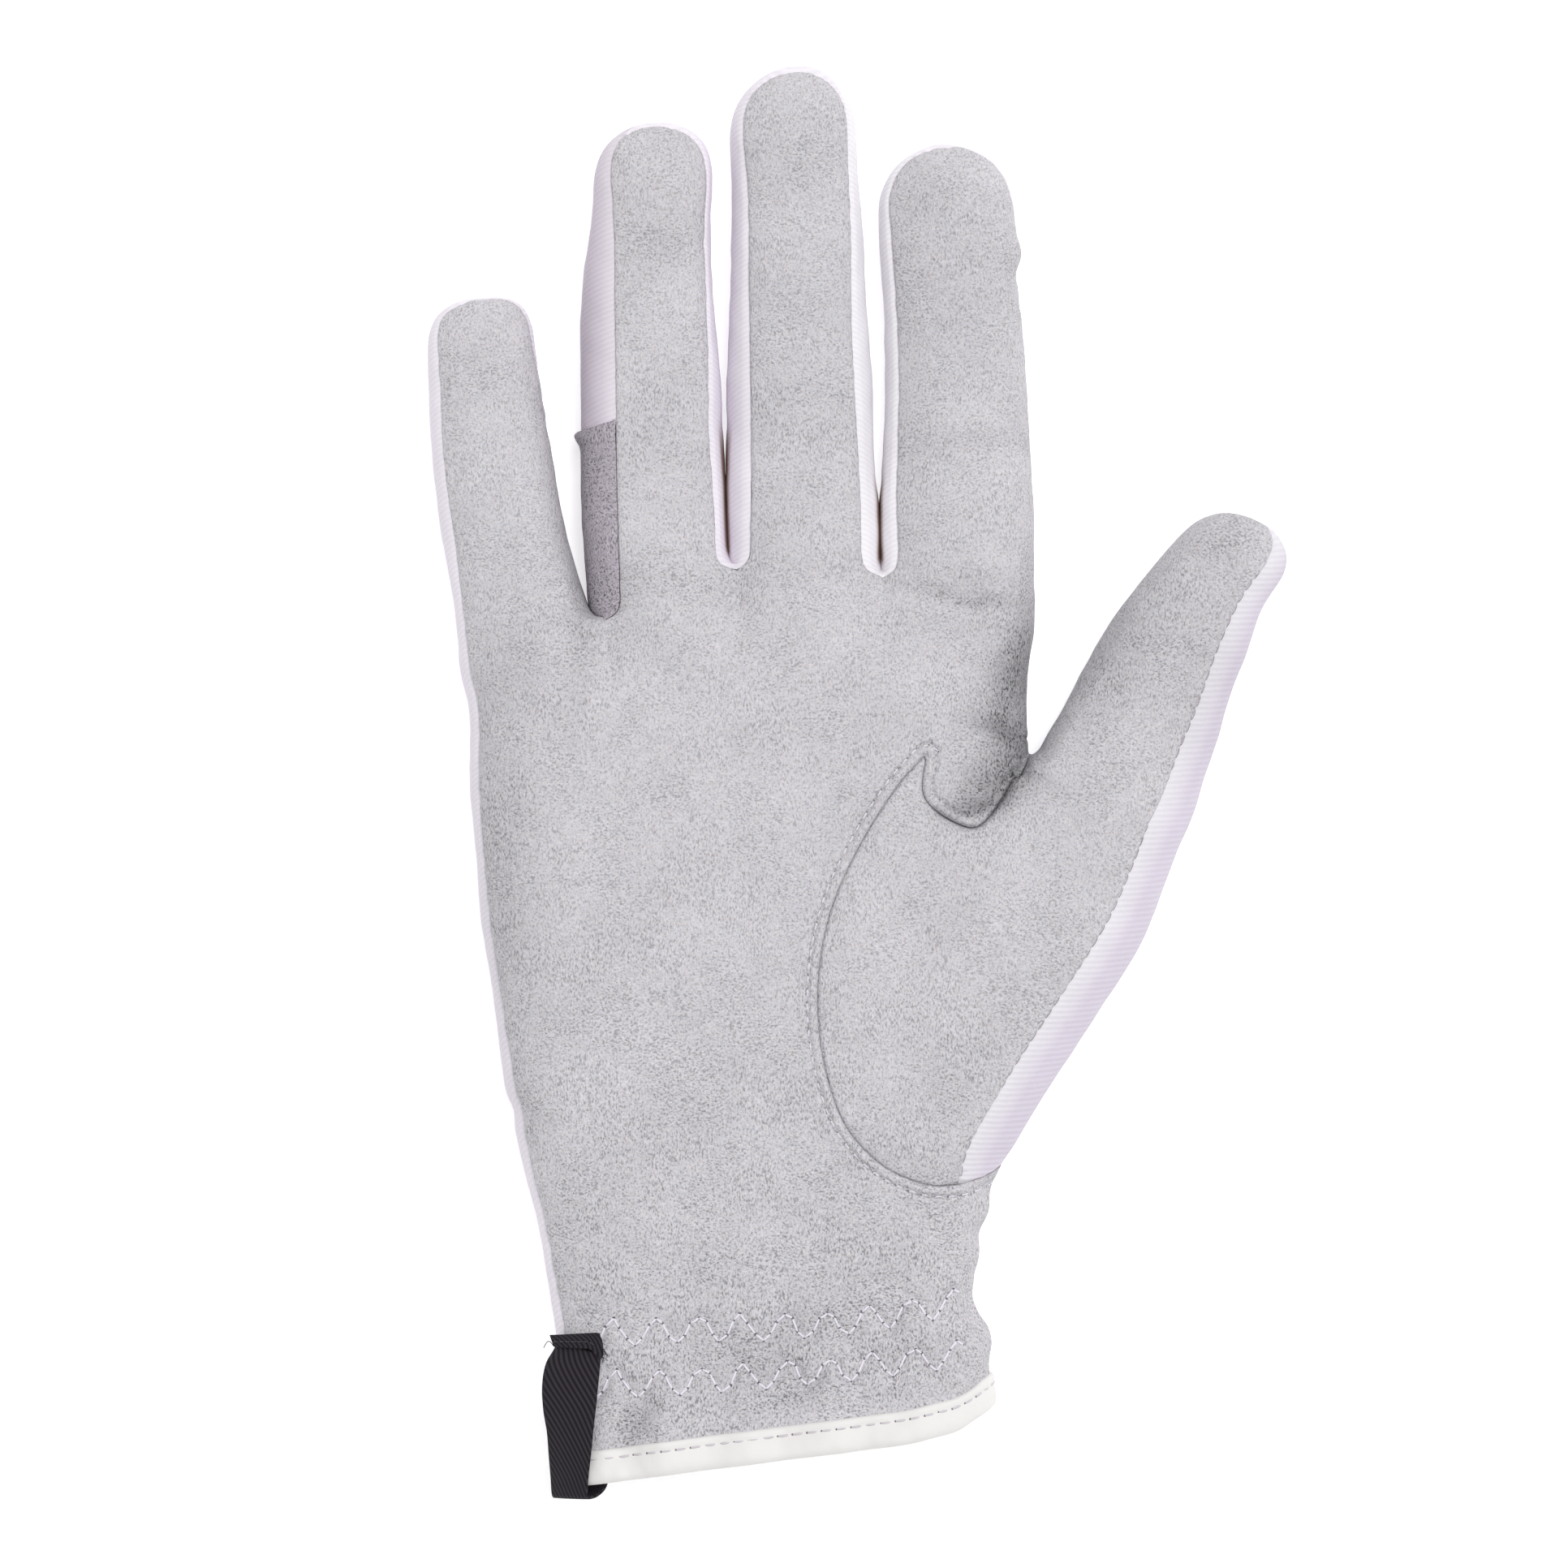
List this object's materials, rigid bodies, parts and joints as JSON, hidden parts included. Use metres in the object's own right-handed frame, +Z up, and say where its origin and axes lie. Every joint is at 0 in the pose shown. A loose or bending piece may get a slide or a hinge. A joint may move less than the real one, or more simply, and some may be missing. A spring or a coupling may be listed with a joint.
{
  "type": "riding glove",
  "caption": "Right-hand riding glove in grey suede with white twill sides and back, sewn-in thumb, gathered wrist, bound hem and a bare black side label.",
  "frame": {"origin": "On the table plane under the middle of the glove's outline, where it lies on its back", "axes": "+X to the thumb side, +Y along the fingers to their tips, +Z up out of the palm side"},
  "size_m": [0.1418, 0.2356, 0.023],
  "materials": {
    "grey_suede": "napped suede",
    "patch_suede": "napped suede",
    "white_twill": "fine twill weave",
    "white_binding": "smooth elastic tape",
    "black_ribbon": "woven ribbon"
  },
  "bodies": {
    "root": {"palm_panel": "grey_suede", "thumb_panel": "grey_suede", "thumb_back": "white_twill", "back_panel": "white_twill", "fourchette_little_ring": "white_twill", "finger_patch": "patch_suede", "fourchette_ring_middle": "white_twill", "fourchette_middle_index": "white_twill", "cuff_binding": "white_binding", "side_label": "black_ribbon"}
  },
  "joints": []
}
